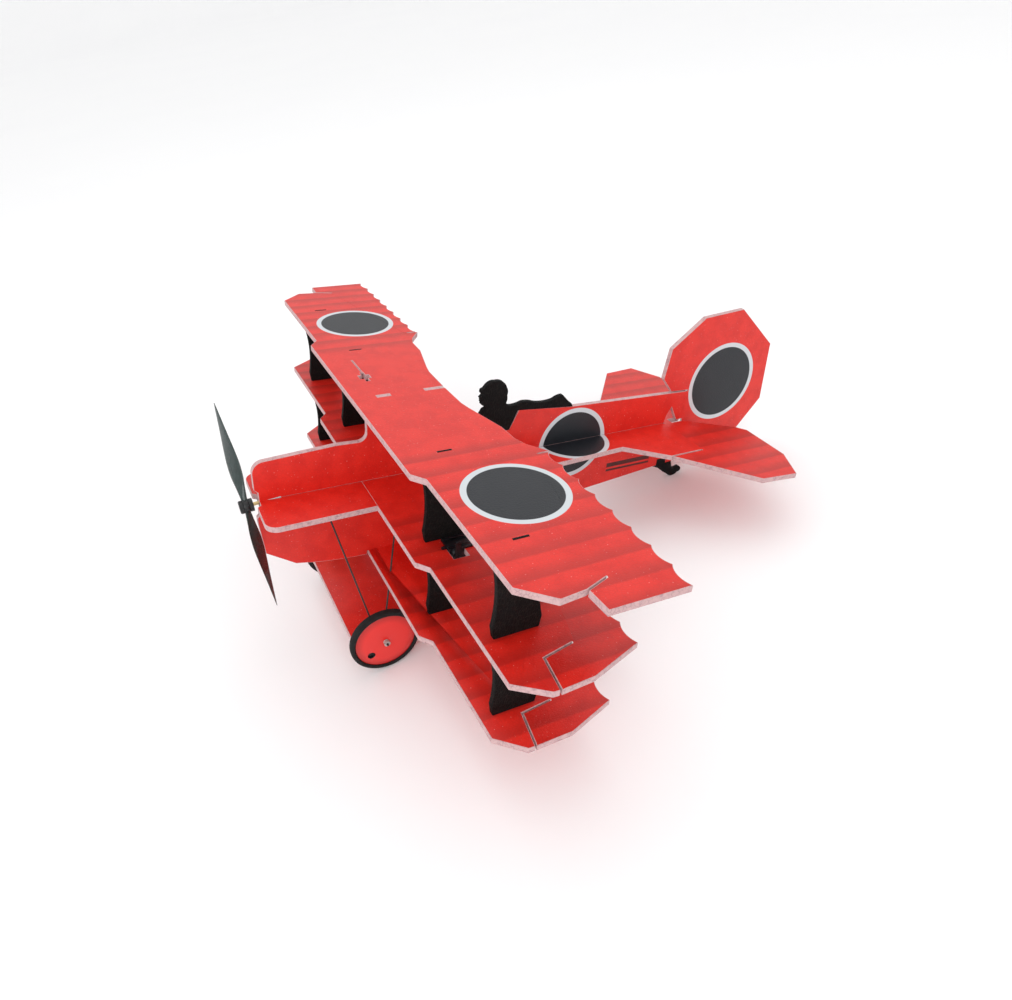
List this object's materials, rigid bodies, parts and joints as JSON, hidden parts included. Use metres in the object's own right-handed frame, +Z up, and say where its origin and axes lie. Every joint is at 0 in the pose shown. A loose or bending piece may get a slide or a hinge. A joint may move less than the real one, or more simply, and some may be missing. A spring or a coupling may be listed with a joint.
{
  "type": "foam triplane model",
  "caption": "Flat-sheet foam triplane for radio control: crossed-sheet fuselage, three strut-braced wings with linked ailerons, elevator, rudder, propeller and wheeled gear with tail skid.",
  "frame": {"origin": "centre of the bounding box at the level the wheels and tail skid stand on", "axes": "+X towards the port wing tip, -Y towards the nose, +Z up; the aircraft stands nose up on its gear"},
  "size_m": [0.6, 0.563, 0.2401],
  "materials": {
    "red_foam": "printed moulded-bead foam sheet, satin skin",
    "black_foam": "black moulded-bead foam sheet",
    "carbon_rod": "pultruded carbon rod",
    "tyre": "black foam rubber",
    "wheel_disc": "thin red printed disc",
    "nylon": "moulded nylon",
    "propeller": "dark moulded nylon",
    "black_plastic": "black moulded plastic",
    "brass": "turned brass",
    "motor_can": "drawn steel can",
    "servo_case": "black moulded servo case",
    "battery_wrap": "heat-shrunk film",
    "hook_pad": "hook-and-loop tape"
  },
  "bodies": {
    "airframe": {"front_plate": "red_foam", "middle_wing": "red_foam", "rear_plate": "red_foam", "fuselage_upper": "red_foam", "fuselage_lower": "red_foam", "top_wing": "red_foam", "bottom_wing": "red_foam", "upper_struts": "black_foam", "lower_struts": "black_foam", "wing_spars": "carbon_rod", "pilot_figure": "black_foam", "tail_skid": "black_foam", "axle_fairing": "red_foam", "axle": "carbon_rod", "gear_rods_front": "carbon_rod", "gear_rods_rear": "carbon_rod", "axle_blocks": "black_plastic", "wheel_collars": "black_plastic", "nose_bearing": "brass", "gear_motor": "motor_can", "aileron_servo_port": "servo_case", "aileron_servo_starboard": "servo_case", "elevator_servo": "servo_case", "rudder_servo": "servo_case", "battery": "battery_wrap", "battery_pad": "hook_pad", "receiver": "black_plastic"},
    "propeller": {"propeller": "propeller", "propeller_nut": "black_plastic", "propeller_collar": "black_plastic", "propeller_shaft": "brass"},
    "wheel_port": {"wheel_disc_port": "wheel_disc", "wheel_bush_port": "nylon", "tyre_port": "tyre"},
    "top_aileron_port": {"top_aileron_port": "red_foam"},
    "middle_aileron_port": {"middle_aileron_port": "red_foam", "aileron_horn_port": "black_plastic"},
    "bottom_aileron_port": {"bottom_aileron_port": "red_foam"},
    "aileron_link_port": {"aileron_link_port": "carbon_rod"},
    "aileron_servo_arm_port": {"aileron_servo_arm_port": "black_plastic"},
    "aileron_pushrod_port": {"aileron_pushrod_port": "carbon_rod"},
    "wheel_starboard": {"wheel_disc_starboard": "wheel_disc", "wheel_bush_starboard": "nylon", "tyre_starboard": "tyre"},
    "top_aileron_starboard": {"top_aileron_starboard": "red_foam"},
    "middle_aileron_starboard": {"middle_aileron_starboard": "red_foam", "aileron_horn_starboard": "black_plastic"},
    "bottom_aileron_starboard": {"bottom_aileron_starboard": "red_foam"},
    "aileron_link_starboard": {"aileron_link_starboard": "carbon_rod"},
    "aileron_servo_arm_starboard": {"aileron_servo_arm_starboard": "black_plastic"},
    "aileron_pushrod_starboard": {"aileron_pushrod_starboard": "carbon_rod"},
    "elevator": {"elevator": "red_foam", "elevator_horn": "black_plastic"},
    "elevator_servo_arm": {"elevator_servo_arm": "black_plastic"},
    "elevator_pushrod": {"elevator_pushrod": "carbon_rod"},
    "rudder": {"rudder": "red_foam", "rudder_horn": "black_plastic"},
    "rudder_servo_arm": {"rudder_servo_arm": "black_plastic"},
    "rudder_pushrod": {"rudder_pushrod": "carbon_rod"}
  },
  "joints": [
    {"name": "propeller_spin", "type": "hinge", "parent": "airframe", "child": "propeller", "pos_m": [0, -0.27222, 0.1651], "axis": [0, -0.9926, 0.1215], "continuous": true},
    {"name": "wheel_port_spin", "type": "hinge", "parent": "airframe", "child": "wheel_port", "pos_m": [0.0725, -0.21106, 0.0315], "axis": [1, 0, 0], "continuous": true},
    {"name": "wheel_starboard_spin", "type": "hinge", "parent": "airframe", "child": "wheel_starboard", "pos_m": [-0.0725, -0.21106, 0.0315], "axis": [1, 0, 0], "continuous": true},
    {"name": "aileron_hinge", "type": "hinge", "parent": "airframe", "child": "middle_aileron_port", "pos_m": [0.18805, -0.10007, 0.12906], "axis": [0.9648, -0.2563, 0.0591], "range_deg": [-25, 25]},
    {"name": "middle_aileron_starboard_hinge", "type": "hinge", "parent": "airframe", "child": "middle_aileron_starboard", "pos_m": [-0.18805, -0.10007, 0.12906], "axis": [0.9648, 0.2563, -0.0591], "range_deg": [-25, 25]},
    {"name": "top_aileron_port_hinge", "type": "hinge", "parent": "airframe", "child": "top_aileron_port", "pos_m": [0.202, -0.08618, 0.20447], "axis": [0.9745, -0.2187, 0.0504], "range_deg": [-25, 25]},
    {"name": "top_aileron_starboard_hinge", "type": "hinge", "parent": "airframe", "child": "top_aileron_starboard", "pos_m": [-0.202, -0.08618, 0.20447], "axis": [0.9745, 0.2187, -0.0504], "range_deg": [-25, 25]},
    {"name": "bottom_aileron_port_hinge", "type": "hinge", "parent": "airframe", "child": "bottom_aileron_port", "pos_m": [0.17865, -0.11407, 0.05604], "axis": [0.9515, -0.2997, 0.0691], "range_deg": [-25, 25]},
    {"name": "bottom_aileron_starboard_hinge", "type": "hinge", "parent": "airframe", "child": "bottom_aileron_starboard", "pos_m": [-0.17865, -0.11407, 0.05604], "axis": [0.9515, 0.2997, -0.0691], "range_deg": [-25, 25]},
    {"name": "aileron_link_port_pivot", "type": "hinge", "parent": "middle_aileron_port", "child": "aileron_link_port", "pos_m": [0.15, -0.08317, 0.1226], "axis": [0.9648, -0.2563, 0.0591], "range_deg": [-25, 25]},
    {"name": "aileron_servo_port_spin", "type": "hinge", "parent": "airframe", "child": "aileron_servo_arm_port", "pos_m": [0.12865, -0.14472, 0.13679], "axis": [1, 0, 0], "range_deg": [-25, 25]},
    {"name": "aileron_pushrod_port_pivot", "type": "hinge", "parent": "aileron_servo_arm_port", "child": "aileron_pushrod_port", "pos_m": [0.12865, -0.14742, 0.1251], "axis": [1, 0, 0], "range_deg": [-25, 25]},
    {"name": "aileron_link_starboard_pivot", "type": "hinge", "parent": "middle_aileron_starboard", "child": "aileron_link_starboard", "pos_m": [-0.15, -0.08317, 0.1226], "axis": [0.9648, 0.2563, -0.0591], "range_deg": [-25, 25]},
    {"name": "aileron_servo_starboard_spin", "type": "hinge", "parent": "airframe", "child": "aileron_servo_arm_starboard", "pos_m": [-0.12865, -0.14472, 0.13679], "axis": [1, 0, 0], "range_deg": [-25, 25]},
    {"name": "aileron_pushrod_starboard_pivot", "type": "hinge", "parent": "aileron_servo_arm_starboard", "child": "aileron_pushrod_starboard", "pos_m": [-0.12865, -0.14742, 0.1251], "axis": [1, 0, 0], "range_deg": [-25, 25]},
    {"name": "elevator_hinge", "type": "hinge", "parent": "airframe", "child": "elevator", "pos_m": [0, 0.14165, 0.07335], "axis": [1, 0, 0], "range_deg": [-25, 25]},
    {"name": "elevator_servo_spin", "type": "hinge", "parent": "airframe", "child": "elevator_servo_arm", "pos_m": [-0.02395, -0.05203, 0.1026], "axis": [1, 0, 0], "range_deg": [-25, 25]},
    {"name": "elevator_pushrod_pivot", "type": "hinge", "parent": "elevator_servo_arm", "child": "elevator_pushrod", "pos_m": [-0.02395, -0.05473, 0.0909], "axis": [1, 0, 0], "range_deg": [-25, 25]},
    {"name": "rudder_hinge", "type": "hinge", "parent": "airframe", "child": "rudder", "pos_m": [0.0025, 0.16425, 0.06814], "axis": [0, 0.2246, 0.9745], "range_deg": [-25, 25]},
    {"name": "rudder_servo_spin", "type": "hinge", "parent": "airframe", "child": "rudder_servo_arm", "pos_m": [-0.00675, -0.00787, 0.13393], "axis": [0, 0.2246, 0.9745], "range_deg": [-25, 25]},
    {"name": "rudder_pushrod_pivot", "type": "hinge", "parent": "rudder_servo_arm", "child": "rudder_pushrod", "pos_m": [-0.01675, -0.00787, 0.13393], "axis": [0, 0.2246, 0.9745], "range_deg": [-25, 25]}
  ],
  "couplings": [
    {"joint": "middle_aileron_starboard_hinge", "follows": "aileron_hinge", "ratio": -1},
    {"joint": "top_aileron_port_hinge", "follows": "aileron_hinge", "ratio": 1},
    {"joint": "top_aileron_starboard_hinge", "follows": "aileron_hinge", "ratio": -1},
    {"joint": "bottom_aileron_port_hinge", "follows": "aileron_hinge", "ratio": 1},
    {"joint": "bottom_aileron_starboard_hinge", "follows": "aileron_hinge", "ratio": -1},
    {"joint": "aileron_link_port_pivot", "follows": "aileron_hinge", "ratio": -1},
    {"joint": "aileron_servo_port_spin", "follows": "aileron_hinge", "ratio": 1},
    {"joint": "aileron_pushrod_port_pivot", "follows": "aileron_hinge", "ratio": -1},
    {"joint": "aileron_link_starboard_pivot", "follows": "aileron_hinge", "ratio": 1},
    {"joint": "aileron_servo_starboard_spin", "follows": "aileron_hinge", "ratio": -1},
    {"joint": "aileron_pushrod_starboard_pivot", "follows": "aileron_hinge", "ratio": 1},
    {"joint": "elevator_servo_spin", "follows": "elevator_hinge", "ratio": 1},
    {"joint": "elevator_pushrod_pivot", "follows": "elevator_hinge", "ratio": -1},
    {"joint": "rudder_servo_spin", "follows": "rudder_hinge", "ratio": 1},
    {"joint": "rudder_pushrod_pivot", "follows": "rudder_hinge", "ratio": -1}
  ]
}
